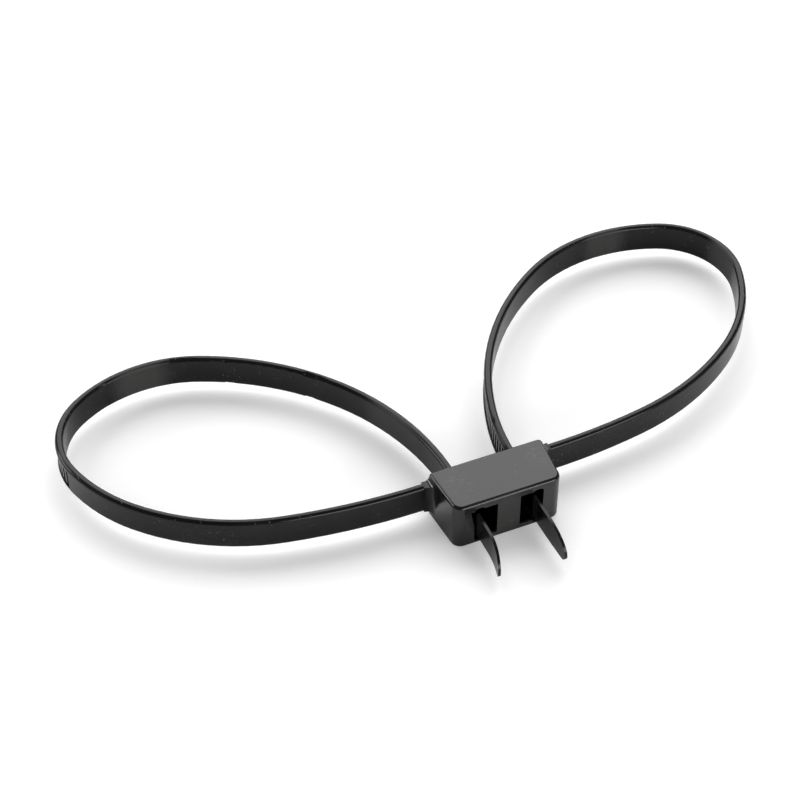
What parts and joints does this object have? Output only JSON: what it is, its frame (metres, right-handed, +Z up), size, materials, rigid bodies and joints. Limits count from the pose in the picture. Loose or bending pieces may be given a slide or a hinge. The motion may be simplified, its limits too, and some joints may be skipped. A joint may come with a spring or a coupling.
{
  "type": "plastic handcuffs",
  "caption": "One-piece moulded nylon double handcuffs: a lock block with a strap on each side, looped back through it, with thin tapered tails.",
  "frame": {"origin": "middle of the lock block's bottom face, which the part rests on", "axes": "+X to the right across the block, +Y to the back where the strap loops lie, +Z up"},
  "size_m": [0.271, 0.1396, 0.019],
  "materials": {
    "black_nylon": "glossy black moulded nylon with light scuffs"
  },
  "bodies": {
    "root": {"double_handcuffs": "black_nylon"}
  },
  "joints": []
}
